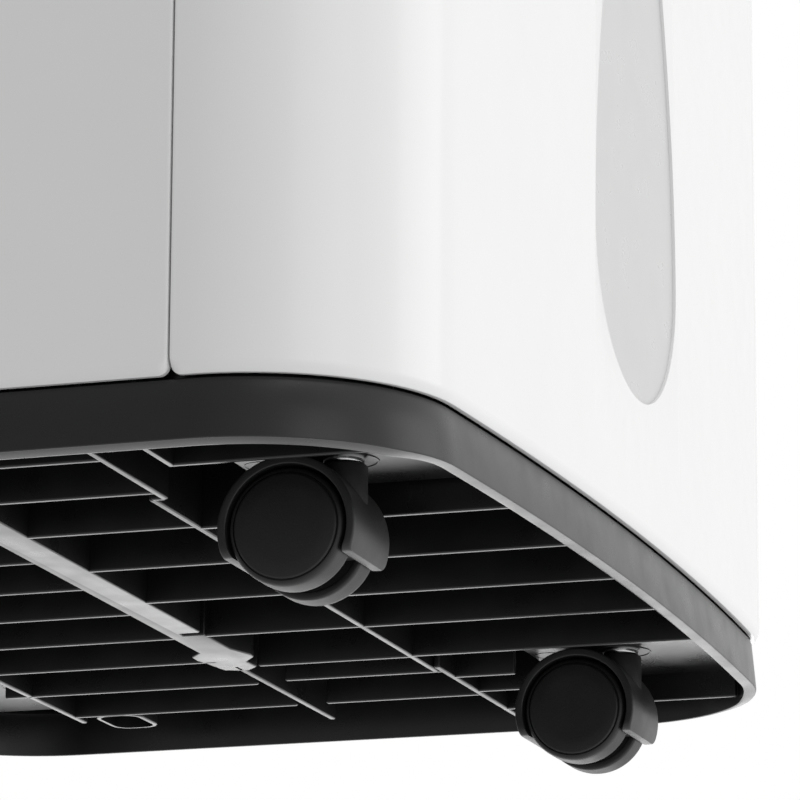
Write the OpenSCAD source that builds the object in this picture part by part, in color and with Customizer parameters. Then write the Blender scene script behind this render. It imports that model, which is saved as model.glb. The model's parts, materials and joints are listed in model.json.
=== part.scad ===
// Portable dehumidifier on four twin-wheel casters, with a pull-out water tank behind its lower front.
// Millimetres. The origin is on the floor under the middle of the casing.
// +Z is up, X runs across, and the front, with the drop-shaped level window, faces -Y.

/* [Casing] */
// Width of the base rim, side to side
base_w = 350; // [348:0.5:352]
// Depth of the base rim over the bows of its front and back
base_d = 263.2; // [262:0.1:264]
// Radius of the four upright corners
corner_r = 47; // [46:0.5:48]
// Radius of the gentle bow of the front and back
bow_r = 1992; // [1900:1:2100]
// Height of the whole object, floor to top
total_h = 545; // [545:1:555]
// How far the white casing stands out past the base rim
casing_out = 1; // [0.5:0.1:1.2]
// Thickness of the casing walls
wall = 2.6; // [2.2:0.1:2.8]
// Place of the upright seam where the front pieces meet the body shell
seam_y = -76.7; // [-78:0.1:-75]
// Height of the seam between the tank front and the upper front panel
split_z = 330; // [326:1:334]
// Width of the visible seams
seam_gap = 0.5; // [0.4:0.1:0.7]

/* [Base] */
// Height of the base rim above the floor
rim_z = 23; // [22.9:0.1:23.2]
// Height of the dark band
band_h = 13.4; // [13:0.1:14]
// Depth of the pocket under the base
pocket_h = 20; // [18:0.5:21]
// Depth of the caster pads in that pocket
pad_h = 7.5; // [7:0.1:8]
// Thickness of the stiffening ribs under the base
rib_t = 1.7; // [1.4:0.1:2]
// Spacing of the ribs in the rear field
rib_pitch = 31.6; // [31:0.1:32]

/* [Casters] */
// Distance of each caster stem from the middle, along X
stem_x = 114; // [112:0.5:116]
// Distance of each caster stem from the middle, along Y
stem_y = 95.5; // [94:0.5:97]
// How far the wheels trail behind the stem
trail = 9.3; // [9:0.1:10]
// Radius of a caster wheel
wheel_r = 13.5; // [13.2:0.1:13.6]
// Width of one caster wheel
wheel_w = 9.6; // [9:0.1:10]
// Gap between the two wheels of a caster
wheel_gap = 6.6; // [6.2:0.1:7]
// Running clearance of the caster pins, on the radius
running = 0.05; // [0.03:0.01:0.08]

/* [Level window] */
// Height of the window's widest point
drop_z = 107.4; // [106:0.2:110]
// Half the window's greatest width
drop_r = 38.5; // [37:0.5:40]
// Length of the window's upper taper
drop_taper = 171; // [160:1:180]
// Depth of the window below the front surface
drop_recess = 1.5; // [0.8:0.1:1.8]

/* [Water tank] */
// Half the width of the tank
tank_x = 148; // [144:1:150]
// Depth of the tank, front to back
tank_d = 134; // [128:1:136]
// Height of the tank's rim
tank_top = 284; // [276:1:286]
// Radius of the tank's upright corners
tank_r = 10; // [8:1:10]

/* [Top] */
// Height of the join between the shell and the top cover
cover_z = 500; // [498:1:502]
// Spacing of the push buttons
button_pitch = 30; // [28:1:32]
// Radius of a push button
button_r = 6; // [5.5:0.1:6.5]

/* [Hidden] */
$fn = 64;
CORNERS = ["front_left", "front_right", "rear_left", "rear_right"];
BUTTONS = ["power", "mode", "fan", "timer", "swing"];
function hood_name(corner) = str("caster_hood_", corner);
function axle_name(corner) = str("caster_axle_", corner);
function wheel_name(corner, side) = str("wheel_", corner, side < 0 ? "_l" : "_r");
function button_name(button) = str("button_", button);

eps = 0.01;
corner_x = base_w / 2 - corner_r;
bow_y = bow_r - base_d / 2;
corner_y = sqrt(pow(bow_r - corner_r, 2) - pow(corner_x, 2)) - bow_y;
bow_a = atan2(corner_y + bow_y, corner_x);
band_z = rim_z + band_h;
floor_z = rim_z + pocket_h;
floor_t = 2.5;
pad_z = rim_z + pad_h;
casing_z = band_z + 0.4;
inner = wall - casing_out;
front_y = -base_d / 2 - casing_out;
front_edge = seam_y - seam_gap / 2;
shell_edge = seam_y + seam_gap / 2;

// ---- Shared shapes -------------------------------------------------------------------------------

// Points of an arc, leaving out skip points at each end
function arc(x, y, r, a0, a1, n, skip = 0) =
    [for (i = [skip : n - skip]) let (a = a0 + (a1 - a0) * i / n) [x + r * cos(a), y + r * sin(a)]];

// The casing's footprint moved in by inset: straight sides, round corners, bowed front and back
function footprint_points(inset) =
    let (r = corner_r - inset, b = bow_r - inset, n = 16, m = 10)
    concat(
        arc(corner_x, corner_y, r, 0, bow_a, n),
        arc(0, -bow_y, b, bow_a, 180 - bow_a, m, 1),
        arc(-corner_x, corner_y, r, 180 - bow_a, 180, n),
        arc(-corner_x, -corner_y, r, 180, 180 + bow_a, n),
        arc(0, bow_y, b, 180 + bow_a, 360 - bow_a, m, 1),
        arc(corner_x, -corner_y, r, 360 - bow_a, 360, n));

// A solid slice of the footprint
module slab(inset, z0, z1) {
    translate([0, 0, z0]) linear_extrude(z1 - z0) polygon(footprint_points(inset));
}

// A wall that follows the footprint, between two insets
module ring(outer, inside, z0, z1) {
    translate([0, 0, z0]) linear_extrude(z1 - z0) difference() {
        polygon(footprint_points(outer));
        polygon(footprint_points(inside));
    }
}

// A box given by its lowest and highest corners
module box(low, high) {
    translate(low) cube(high - low);
}

// Everything in front of, or behind, a given depth
module ahead_of(y) {
    box([-300, -300, -50], [300, y, 700]);
}

module behind(y) {
    box([-300, y, -50], [300, 300, 700]);
}

// A cylinder lying along X or Y from its start point
module rod_x(start, length, r) {
    translate(start) rotate([0, 90, 0]) cylinder(r = r, h = length);
}

module rod_y(start, length, r) {
    translate(start) rotate([-90, 0, 0]) cylinder(r = r, h = length);
}

// An upright plate in the XZ plane with round corners, from y0 to y1
module plate_y(half_w, z0, z1, y0, y1, r) {
    translate([0, y1, (z0 + z1) / 2]) rotate([90, 0, 0]) linear_extrude(y1 - y0)
        rounded(2 * half_w, z1 - z0, r);
}

// A rectangle with round corners, centred
module rounded(w, d, r) {
    square([w - 2 * r, d], center = true);
    square([w, d - 2 * r], center = true);
    for (x = [-1, 1], y = [-1, 1]) translate([x * (w / 2 - r), y * (d / 2 - r)]) circle(r);
}

// A bent tube through axis-aligned points
module pipe(points, r) {
    for (i = [0 : len(points) - 2]) {
        a = points[i];
        d = points[i + 1] - a;
        length = norm(d);
        translate(a) rotate([0, acos(d[2] / length), atan2(d[1], d[0])]) cylinder(r = r, h = length);
        translate(points[i + 1]) sphere(r, $fn = 24);
    }
}

// ---- Base ----------------------------------------------------------------------------------------

rib_low = rim_z + 0.4;
side_lip = 4.5;
front_lip = 3.4;
step_z = rim_z + 10.7;
pocket_in = 6.6;
bar_y = [-9.8, -0.2];
cross_y = -51.3;
corner_cross_y = -54.5;
short_rib_y = -67.3;
rear_rib_y = 64.8;
// Caster pads: from this far to that far from the middle, along X and along Y
pad_x = [91, 147.3];
pad_y = [71.5, 140];
socket_r = 5.5;
boss_top = 47.4;
// Ribs that run front to back: ahead of the wide bar, in the strip behind the front rim, and up to a front pad
left_ribs = [-157, -124.2];
field_ribs = [-89.4, -50.5, -12.3, 30.5, 71.2, 92.3, 126];
strip_ribs = [-87.2, -45.7, -6.8, 30.7, 70.2];
pad_ribs = [100.7, 121.6];

// The open pocket under the base: inside the rim's lip, then drawn in above a step
module base_pocket() {
    intersection() {
        slab(front_lip, rim_z - 1, step_z);
        box([-base_w / 2 + side_lip, -200, 0], [base_w / 2 - side_lip, 200, 100]);
    }
    slab(pocket_in, step_z - 1, floor_z);
}

module rib_along_y(x, y0, y1) {
    box([x - rib_t / 2, y0, rib_low], [x + rib_t / 2, y1, floor_z + 1]);
}

module rib_along_x(y, x0, x1) {
    box([x0, y - rib_t / 2, rib_low], [x1, y + rib_t / 2, floor_z + 1]);
}

// The stiffening ribs, cut to the pocket
module base_ribs() {
    intersection() {
        slab(front_lip - 0.5, rib_low, floor_z + 1);
        union() {
            for (k = [-5 : 3]) rib_along_y(k * rib_pitch, bar_y[1] - 0.5, 140);
            rib_along_y(4 * rib_pitch, bar_y[1] - 0.5, rear_rib_y);
            for (x = left_ribs) rib_along_y(x, corner_cross_y, bar_y[0] + 0.5);
            for (x = field_ribs) rib_along_y(x, cross_y - 2, bar_y[0] + 0.5);
            for (x = strip_ribs) rib_along_y(x, -140, cross_y);
            for (x = pad_ribs) rib_along_y(x, -pad_y[0] + 1, cross_y - 2);
            rib_along_y(-118, corner_cross_y, cross_y);
            rib_along_y(-pad_x[1] - rib_t / 2, -140, short_rib_y);
            rib_along_y(pad_x[1] + rib_t / 2, -140, cross_y - 2);
            rib_along_x(corner_cross_y, -base_w / 2, -118);
            rib_along_x(cross_y, -118, 92);
            rib_along_x(cross_y - 2, 86, base_w / 2);
            rib_along_x(short_rib_y, -base_w / 2, -pad_x[1]);
            rib_along_x(rear_rib_y, -base_w / 2, 135);
            rib_along_x(bar_y[1] - 3, 70, pad_x[1] + rib_t);
            // Wide bar, notched along its front edge, with a fishtail end
            translate([0, 0, rib_low]) linear_extrude(floor_z + 1 - rib_low) polygon([
                [-base_w / 2, bar_y[0]], [25.5, bar_y[0]], [25.5, -4], [28.5, -4], [28.5, bar_y[0]], [48, bar_y[0]],
                [56, -12.3], [59.5, -12], [65, -8], [72, -8.4], [75.8, -5], [75.5, -2], [74, 1.5], [64, 3], [60, 3.9],
                [55.8, 3.7], [51, bar_y[1]], [-base_w / 2, bar_y[1]]]);
            // Hollow boss beside the last rear rib
            translate([136, 52.7, rib_low]) linear_extrude(floor_z + 1 - rib_low) difference() {
                rounded(20, 13.5, 5);
                rounded(17.6, 11.1, 3.8);
            }
        }
    }
}

// Flat pads that carry the casters, clear of ribs
module caster_pads(z0, z1) {
    for (sx = [-1, 1], sy = [-1, 1]) intersection() {
        slab(front_lip, z0, z1);
        box([sx > 0 ? pad_x[0] : -pad_x[1], sy > 0 ? pad_y[0] : -pad_y[1], z0],
            [sx > 0 ? pad_x[1] : -pad_x[0], sy > 0 ? pad_y[1] : -pad_y[0], z1]);
    }
}

module at_stems() {
    for (sx = [-1, 1], sy = [-1, 1]) translate([sx * stem_x, sy * stem_y, 0]) children();
}

module base_pan() {
    color([0.15, 0.15, 0.15]) difference() {
        union() {
            difference() {
                union() {
                    slab(0, rim_z, band_z);
                    slab(inner + 2.4, band_z - 1, floor_z + floor_t);
                }
                base_pocket();
            }
            difference() {
                base_ribs();
                caster_pads(rim_z, floor_z + eps);
            }
            difference() {
                caster_pads(pad_z, floor_z + 1);
                at_stems() translate([0, 0, pad_z + 2.5]) cylinder(r = 20, h = 30);
            }
            // Upstand that locates the body shell
            intersection() {
                ring(inner, inner + 2.4, band_z - 1, band_z + 14);
                behind(shell_edge + 3);
            }
            at_stems() translate([0, 0, pad_z]) cylinder(r = socket_r + 4, h = boss_top - pad_z);
            // Rails that the tank slides on
            for (x = [-110, 110]) box([x - 4, -70, floor_z], [x + 4, 14, floor_z + floor_t + 2]);
            // Studs under the compressor feet
            for (p = foot_points) translate([p[0], p[1], floor_z]) cylinder(r = 11, h = 7);
        }
        at_stems() translate([0, 0, rim_z]) cylinder(r = socket_r, h = boss_top - rim_z - 1);
        for (p = foot_points) translate([p[0], p[1], floor_z + 1]) cylinder(r = bolt_r, h = 20);
    }
}

// ---- Casters -------------------------------------------------------------------------------------

axle_r = 2;
stem_r = 4;
neck_r = 5.5;
stem_top = 45;
hood_in = wheel_r + 0.7;
hood_out = wheel_r + 2.7;
hood_w = 25;
web_t = 4.6;

module caster_socket() {
    difference() {
        union() {
            translate([0, 0, pad_z - 0.9]) cylinder(r = 4.8, h = 1);
            translate([0, 0, pad_z]) cylinder(r = socket_r, h = boss_top - 1 - pad_z);
        }
        translate([0, 0, rim_z]) cylinder(r = stem_r + running, h = stem_top + 1 - rim_z);
    }
}

module caster_sockets() {
    color("silver") at_stems() caster_socket();
}

// Places a caster: its origin is the middle of its axle, with the stem towards -Y
module at_caster(corner) {
    sx = corner % 2 == 0 ? -1 : 1;
    sy = corner < 2 ? -1 : 1;
    translate([sx * stem_x, sy * stem_y + trail, wheel_r]) children();
}

module caster_hood(corner) {
    color([0.1, 0.1, 0.1]) at_caster(corner) difference() {
        union() {
            difference() {
                rod_x([-hood_w / 2, 0, 0], hood_w, hood_out);
                rod_x([-hood_w, 0, 0], 2 * hood_w, hood_in);
                box([-30, -40, -60], [30, 40, -8.5]);
            }
            // Web between the wheels, which holds the axle
            intersection() {
                rod_x([-web_t / 2, 0, 0], web_t, hood_in + 0.5);
                box([-10, -30, -5.5], [10, 30, 30]);
            }
            translate([0, -trail, 0]) difference() {
                cylinder(r = neck_r, h = pad_z - 1.2 - wheel_r);
                translate([0, trail, 0]) rod_x([-20, 0, 0], 20 - web_t / 2, hood_in);
                translate([0, trail, 0]) rod_x([web_t / 2, 0, 0], 20, hood_in);
            }
            translate([0, -trail, pad_z - 1.3 - wheel_r]) cylinder(r = stem_r, h = stem_top - pad_z + 1.3);
        }
        rod_x([-10, 0, 0], 20, axle_r);
    }
}

axle_half = wheel_gap / 2 + wheel_w - 2.4;

module caster_axle(corner) {
    color("gray") at_caster(corner) rod_x([-axle_half, 0, 0], 2 * axle_half, axle_r);
}

// One wheel: a round tread, a recessed ring and a raised cover that closes the axle hole
module wheel(corner, side) {
    color([0.09, 0.09, 0.09]) at_caster(corner) rotate([0, side * 90, 0]) translate([0, 0, wheel_gap / 2])
        difference() {
            rotate_extrude() polygon([
                [0, 0], [wheel_r - 0.6, 0], [wheel_r, 0.6], [wheel_r, wheel_w - 1.2],
                [wheel_r - 0.7, wheel_w - 0.4], [wheel_r - 1.1, wheel_w - 0.9], [wheel_r - 1.5, wheel_w], [0, wheel_w]]);
            translate([0, 0, -1]) cylinder(r = axle_r + running, h = wheel_w - 1.2);
        }
}

// ---- Casing --------------------------------------------------------------------------------------

grip_z = [440, 472];
grip_y = [-14, 76];
grip_depth = 26;
intake_x = 118;
intake_z = [322, 486];
drain_x = 70;
drain_z = 285;
drain_r = 15;
pocket_y = 107;
gland_x = -112;
gland_z = 66;
screw_spots = [[-150, 420], [150, 420], [-150, 200], [150, 200], [-150, 70], [150, 70]];

// The outer surface of the rear wall at a given x, clear of the round corners
function rear_y(x) = -bow_y + sqrt(pow(bow_r + casing_out, 2) - x * x);

module body_shell() {
    color([0.8, 0.8, 0.8]) difference() {
        union() {
            intersection() {
                ring(-casing_out, inner, casing_z, cover_z);
                behind(shell_edge);
            }
            // Cup around the continuous-drain spout
            rod_y([drain_x, pocket_y - 2, drain_z], rear_y(drain_x) - 1 - pocket_y, drain_r + 2);
        }
        for (s = [-1, 1])
            box([s * base_w / 2 - 10, grip_y[0], grip_z[0]], [s * base_w / 2 + 10, grip_y[1], grip_z[1]]);
        box([-intake_x, 100, intake_z[0]], [intake_x, 200, intake_z[1]]);
        rod_y([drain_x, pocket_y, drain_z], 60, drain_r);
        rod_y([drain_x, pocket_y - 5, drain_z], 20, spout_r + 1.5);
        rod_y([gland_x, 100, gland_z], 60, gland_r);
        for (p = screw_spots) rod_y([p[0], 90, p[1]], 60, screw_r);
    }
}

screw_r = 2;

// The rear face at a screw, on the bow or on the round corner
function screw_y(x) = abs(x) < 131 ? rear_y(x)
    : corner_y + sqrt(pow(corner_r + casing_out, 2) - pow(abs(x) - corner_x, 2));

module casing_screws() {
    color("silver") for (p = screw_spots) {
        rod_y([p[0], screw_y(p[0]) - 16, p[1]], 15, screw_r);
        rod_y([p[0], screw_y(p[0]) - wall - 3.6, p[1]], 1.2, 3.6);
    }
}

module front_panel() {
    color([0.93, 0.93, 0.93]) intersection() {
        union() {
            ring(-casing_out, inner, split_z + seam_gap, cover_z);
            // Shelf behind the seam above the tank front
            ring(inner - eps, inner + 8, split_z + 2, split_z + 4);
            // Posts for the power board
            for (x = [-50, 50], z = [360, 460]) rod_y([x, front_y + 1, z], 20, 4);
        }
        ahead_of(front_edge);
    }
}

// A slice of the rounded dome of the top cover, from the cover's edge inwards
cover_round = 12;
module dome(inset, z0, top) {
    hull() {
        slab(inset, z0, top - cover_round);
        for (a = [15 : 15 : 90])
            slab(inset + cover_round * (1 - cos(a)), top - cover_round - 1, top - cover_round * (1 - sin(a)));
    }
}

outlet_x = 100;
outlet_y = [6, 76];
flap_t = 3;
flap_z = total_h - 4.5;
hinge_r = 2;
hinge_y = outlet_y[1] - 4;
panel_x = 92;
panel_y = [-98, -44];
panel_z = total_h - 3;
panel_t = 1.5;

module top_cover() {
    color([0.9, 0.9, 0.9]) difference() {
        union() {
            difference() {
                dome(-casing_out, cover_z, total_h);
                dome(inner, cover_z - 1, total_h - wall);
            }
            ring(inner, inner + 2, cover_z - 8, cover_z + 1);
            // Well around the outlet
            box([-outlet_x - 3, outlet_y[0] - 3, cover_z + 6], [outlet_x + 3, outlet_y[1] + 3, total_h - 1]);
            // Ledge under the control panel
            box([-panel_x - 3, panel_y[0] - 3, panel_z - panel_t - 3], [panel_x + 3, panel_y[1] + 3, total_h - 1]);
        }
        box([-outlet_x, outlet_y[0], cover_z], [outlet_x, outlet_y[1], total_h + 1]);
        box([-panel_x, panel_y[0], panel_z - panel_t], [panel_x, panel_y[1], total_h + 1]);
        box([-panel_x + 3, panel_y[0] + 3, cover_z], [panel_x - 3, panel_y[1] - 3, total_h]);
        rod_x([-outlet_x - 2, hinge_y, flap_z - flap_t / 2], 2 * outlet_x + 4, hinge_r + running);
    }
}

// Moulded cups behind the two grip openings
module side_grip(s) {
    depth = [s > 0 ? base_w / 2 - inner - grip_depth : -base_w / 2 + inner, grip_y[0] - 2, grip_z[0] - 2];
    difference() {
        box(depth, depth + [grip_depth, grip_y[1] - grip_y[0] + 4, grip_z[1] - grip_z[0] + 4]);
        translate([s > 0 ? -2 : 2, 0, 0])
            box(depth + [s > 0 ? 4 : -10, 2, 2],
                depth + [grip_depth + (s > 0 ? 10 : -4), grip_y[1] - grip_y[0] + 2, grip_z[1] - grip_z[0] + 2]);
    }
}

module side_grips() {
    color([0.75, 0.75, 0.75]) for (s = [-1, 1]) side_grip(s);
}

// ---- Water tank ----------------------------------------------------------------------------------

tank_y = -116;
tank_z = floor_z + floor_t + 2.4;
tank_t = 2.2;
lid_t = 2.5;
window_t = 2;
boss_y = front_y + wall - 0.5;

// The drop's outline: a round foot that tapers to a point
function drop_points() = concat(
    arc(0, drop_z, drop_r, 180, 360, 24),
    [for (i = [1 : 19]) let (t = i / 20) [drop_r * pow(cos(90 * t), 2), drop_z + drop_taper * t]],
    [[0, drop_z + drop_taper]],
    [for (i = [19 : -1 : 1]) let (t = i / 20) [-drop_r * pow(cos(90 * t), 2), drop_z + drop_taper * t]]);

// The drop as a solid lying between two depths
module drop(y0, y1) {
    translate([0, y1, 0]) rotate([90, 0, 0]) linear_extrude(y1 - y0) polygon(drop_points());
}

// A ring around the drop that holds the window
module drop_seat(y0, y1) {
    box([-drop_r - 5, y0, drop_z - drop_r - 5], [drop_r + 5, y1, drop_z + drop_taper + 5]);
}

module tank_front() {
    color([0.93, 0.93, 0.93]) difference() {
        intersection() {
            union() {
                ring(-casing_out, inner, casing_z, split_z);
                for (x = [-95, 95], z = [80, 240]) rod_y([x, boss_y, z], tank_y - boss_y, 6);
                for (z = [60, 305]) ring(inner - eps, inner + 3, z, z + 2);
                intersection() {
                    drop_seat(front_y + 1, front_y + drop_recess + window_t + 1.5);
                    slab(0, casing_z, split_z);
                }
            }
            ahead_of(front_edge);
        }
        drop(front_y - 1, front_y + drop_recess + window_t + 3);
    }
}

module level_window() {
    color([0.84, 0.84, 0.84, 0.9]) intersection() {
        ring(drop_recess - casing_out, drop_recess - casing_out + window_t, casing_z, split_z);
        drop(front_y, front_y + drop_recess + window_t + 2);
    }
}

module tank_outline(inset) {
    translate([0, tank_y + tank_d / 2]) rounded(2 * (tank_x - inset), tank_d - 2 * inset, tank_r - inset);
}

module water_tank() {
    color([0.75, 0.8, 0.84, 0.6]) difference() {
        union() {
            translate([0, 0, tank_z]) linear_extrude(tank_top - tank_z) tank_outline(0);
        }
        translate([0, 0, tank_z + tank_t]) linear_extrude(tank_top) tank_outline(tank_t);
    }
}

float_x = 118;
float_y = -6;
float_w = 26;
float_z = 232;
float_h = 22;
float_travel = 24;
fill_y = -4;

// Lid with a fill hole under the drip spout and a cage that guides the float
module tank_lid() {
    cage = float_w + 3;
    color([0.7, 0.74, 0.78]) difference() {
        union() {
            translate([0, 0, tank_top]) linear_extrude(lid_t) tank_outline(0);
            translate([0, 0, tank_top - 4]) linear_extrude(4 + eps) difference() {
                tank_outline(tank_t + 0.2);
                tank_outline(tank_t + 2);
            }
            box([float_x - cage / 2 - 2, float_y - cage / 2 - 2, float_z - 2.3],
                [float_x + cage / 2 + 2, float_y + cage / 2 + 2, tank_top + eps]);
        }
        translate([0, fill_y, tank_top - 5]) cylinder(r = 16, h = 10);
        // Pour opening at the front left corner
        box([-130, tank_y + 12, tank_top - 5], [-80, tank_y + 32, tank_top + 5]);
        box([float_x - cage / 2, float_y - cage / 2, float_z - 0.3],
            [float_x + cage / 2, float_y + cage / 2, tank_top - eps]);
        for (z = [float_z + 5 : 12 : tank_top - 12])
            box([float_x - 40, float_y - 8, z], [float_x + 40, float_y + 8, z + 6]);
    }
}

// Carry bar that clips over the lid
module tank_handle() {
    color([0.6, 0.63, 0.66]) difference() {
        union() {
            box([-52, -72, tank_top + lid_t], [52, -56, tank_top + lid_t + 13]);
        }
        box([-42, -80, tank_top + lid_t - 1], [42, -50, tank_top + lid_t + 9]);
    }
}

module tank_float() {
    color("white") translate([float_x - float_w / 2, float_y - float_w / 2, float_z])
        cube([float_w, float_w, float_h]);
}

// ---- Inner frame and water path ------------------------------------------------------------------

bay_y = 24;
deck_z = 305;
deck_t = 3;
tray_z = deck_z + deck_t;
drip_r = 6;

// Upright wall behind the tank, with stiffening ribs
module bay_wall() {
    color([0.3, 0.3, 0.32]) {
        box([-165, bay_y, floor_z + floor_t], [165, bay_y + 2.5, deck_z]);
        for (x = [-150, 0, 150]) box([x - 1.2, bay_y + 1, 60], [x + 1.2, bay_y + 8, deck_z]);
    }
}

// Deck that carries the tray and closes the bay
module mid_frame() {
    color([0.3, 0.3, 0.32]) difference() {
        slab(inner + 3, deck_z, tray_z);
        translate([0, fill_y, deck_z - 1]) cylinder(r = drip_r + 1, h = 10);
        translate([drain_x, pocket_y - 8, deck_z - 1]) cylinder(r = spout_r, h = 10);
        translate([suction_x, suction_y, deck_z - 1]) cylinder(r = 6, h = 10);
        translate([discharge_x, discharge_y, deck_z - 1]) cylinder(r = 5, h = 10);
    }
}

module drip_tray() {
    color([0.85, 0.87, 0.9]) difference() {
        union() {
            box([-128, 66, tray_z], [128, 121, tray_z + 14]);
            box([-12, fill_y - 12, tray_z], [12, 67, tray_z + 10]);
            translate([0, fill_y, tray_z - 12]) cylinder(r = drip_r, h = 13);
        }
        box([-126, 68, tray_z + 2], [126, 119, tray_z + 20]);
        box([-10, fill_y - 10, tray_z + 2], [10, 70, tray_z + 20]);
        translate([0, fill_y, tray_z - 20]) cylinder(r = drip_r - 2, h = 30);
        translate([drain_x, pocket_y - 8, tray_z - 1]) cylinder(r = spout_r - 2, h = 5);
    }
}

module float_switch() {
    color([0.15, 0.25, 0.2]) box([float_x - 10, bay_y + 2.5, 235], [float_x + 10, bay_y + 9, 265]);
}

spout_r = 6;

// Hose spout in the rear cup, fed from the tray above
module drain_spout() {
    color([0.9, 0.9, 0.9]) difference() {
        union() {
            rod_y([drain_x, pocket_y - 8, drain_z], 24.2, spout_r);
            rod_y([drain_x, pocket_y - 8, drain_z], 8.2, spout_r + 1.5);
            translate([drain_x, pocket_y - 8, drain_z]) cylinder(r = spout_r, h = tray_z - drain_z);
            translate([drain_x, pocket_y - 8, drain_z]) sphere(spout_r);
        }
        rod_y([drain_x, pocket_y - 8, drain_z], 30, spout_r - 2);
        translate([drain_x, pocket_y - 8, drain_z]) cylinder(r = spout_r - 2, h = 40);
    }
}

// Soft plug in the mouth of the spout
module drain_plug() {
    color([0.2, 0.2, 0.2]) {
        rod_y([drain_x, pocket_y + 8, drain_z], 9, spout_r - 2.1);
        rod_y([drain_x, pocket_y + 16.5, drain_z], 3, spout_r - 0.3);
    }
}

gland_r = 7;

module cord_gland() {
    y = rear_y(gland_x + gland_r + 3) + 0.1;
    color([0.1, 0.1, 0.1]) difference() {
        union() {
            rod_y([gland_x, y - 10, gland_z], 11, gland_r);
            rod_y([gland_x, y, gland_z], 1.6, gland_r + 3);
        }
        rod_y([gland_x, y - 20, gland_z], 40, 3.6);
    }
}

// ---- Cooling circuit -----------------------------------------------------------------------------

comp_x = -85;
comp_y = 78;
comp_r = 44;
comp_top = 184;
accumulator_x = comp_x + 62;
suction_x = -144;
discharge_x = -134;
discharge_y = 60;
suction_y = 106;
bolt_r = 2.5;
foot_z = floor_z + 7;
foot_points = [for (a = [90, 210, 330]) [comp_x + 40 * cos(a), comp_y + 34 * sin(a)]];
comp_z = foot_z + 12;

module compressor() {
    color([0.12, 0.12, 0.13]) {
        difference() {
            translate([comp_x, comp_y, comp_z]) linear_extrude(3) square([100, 84], center = true);
            for (p = foot_points) translate([p[0], p[1], comp_z - 1]) cylinder(r = bolt_r + 2, h = 10);
        }
        translate([comp_x, comp_y, comp_z + 2]) cylinder(r = 24, h = 12);
        translate([comp_x, comp_y, comp_z + 30]) rotate_extrude()
            polygon(concat([[0, -19]], arc(comp_r - 14, -5, 14, -90, 0, 8), arc(comp_r - 22, 132, 22, 0, 90, 10),
                [[0, 154]]));
        // Suction accumulator on its bracket
        translate([accumulator_x, comp_y, comp_z + 40]) cylinder(r = 17, h = 100);
        box([comp_x + 40, comp_y - 8, comp_z + 80], [comp_x + 48, comp_y + 8, comp_z + 100]);
        // Terminal cover
        box([comp_x - 18, comp_y - 9, comp_z + 183], [comp_x + 14, comp_y + 15, comp_z + 196]);
    }
}

module compressor_feet() {
    color([0.1, 0.1, 0.1]) for (p = foot_points) translate([p[0], p[1], foot_z]) difference() {
        cylinder(r = 9, h = 12);
        translate([0, 0, -1]) cylinder(r = bolt_r, h = 14);
    }
}

module compressor_bolts() {
    color("silver") for (p = foot_points) {
        translate([p[0], p[1], floor_z + 1]) cylinder(r = bolt_r, h = comp_z + 5 - floor_z);
        translate([p[0], p[1], comp_z + 3]) cylinder(r = 5, h = 4, $fn = 6);
    }
}

coil_x = 108;
coil_z = [tray_z + 16, 482];
coil_rows = 5;
condenser_y = 81;
coil_row = (coil_z[1] - coil_z[0]) / coil_rows;
function coil_row_z(k) = coil_z[0] + (k + 0.5) * coil_row;

// A finned coil: flat fins between two end plates, on tubes with return bends
module coil(mid) {
    y0 = mid - 10;
    y1 = mid + 10;
    for (i = [0 : 16]) let (x = -coil_x + i * coil_x / 8) box([x - 0.6, y0, coil_z[0]], [x + 0.6, y1, coil_z[1]]);
    for (k = [0 : coil_rows - 1]) rod_x([-coil_x - 4, mid, coil_row_z(k)], 2 * coil_x + 8, 3.5);
    for (k = [0 : coil_rows - 2]) translate([(k % 2 == 0 ? 1 : -1) * (coil_x + 4), mid, coil_z[0] + (k + 1) * coil_row])
        rotate([90, 0, k % 2 == 0 ? 0 : 180]) rotate([0, 0, -90]) rotate_extrude(angle = 180) translate([coil_row / 2, 0]) circle(3.5);
    for (s = [-1, 1]) box([s * coil_x - 1.2, y0, tray_z + 2], [s * coil_x + 1.2, y1, coil_z[0] + 1]);
}

module evaporator_coil() {
    color("lightsteelblue") coil(suction_y);
}

module condenser_coil() {
    color("silver") coil(condenser_y);
}

// Lines from the compressor to the two coils, and the loop that joins the coils
module refrigerant_pipes() {
    first_row = coil_row_z(0);
    last_row = coil_row_z(coil_rows - 1);
    end_x = coil_x + 4;
    color("peru") {
        pipe([[comp_x, discharge_y, comp_z + comp_top], [comp_x, discharge_y, tray_z - 8],
              [discharge_x, discharge_y, tray_z - 8], [discharge_x, discharge_y, first_row],
              [discharge_x, condenser_y, first_row]], 3.2);
        rod_x([discharge_x, condenser_y, first_row], -end_x - discharge_x, 3.2);
        pipe([[accumulator_x, comp_y, comp_z + 140], [accumulator_x, comp_y, 286], [accumulator_x, suction_y, 286],
              [suction_x, suction_y, 286], [suction_x, suction_y, first_row]], 4);
        rod_x([suction_x, suction_y, first_row], -end_x - suction_x, 4);
        pipe([[end_x + 12, condenser_y, last_row], [end_x + 12, suction_y, last_row]], 2.5);
        for (y = [condenser_y, suction_y]) rod_x([end_x, y, last_row], 12, 2.5);
    }
}

module capacitor() {
    color("silver") {
        translate([60, 70, floor_z + floor_t]) cylinder(r = 17, h = 62);
        box([40, 50, floor_z + floor_t], [80, 52, 80]);
        box([57, 50, 60], [63, 58, 70]);
    }
}

// ---- Fan -----------------------------------------------------------------------------------------

fan_z = 404;
fan_r = 60;
fan_y = [22, 54];
scroll_y = [16, 62];
scroll_t = 2.2;
shaft_r = 4;

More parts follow.
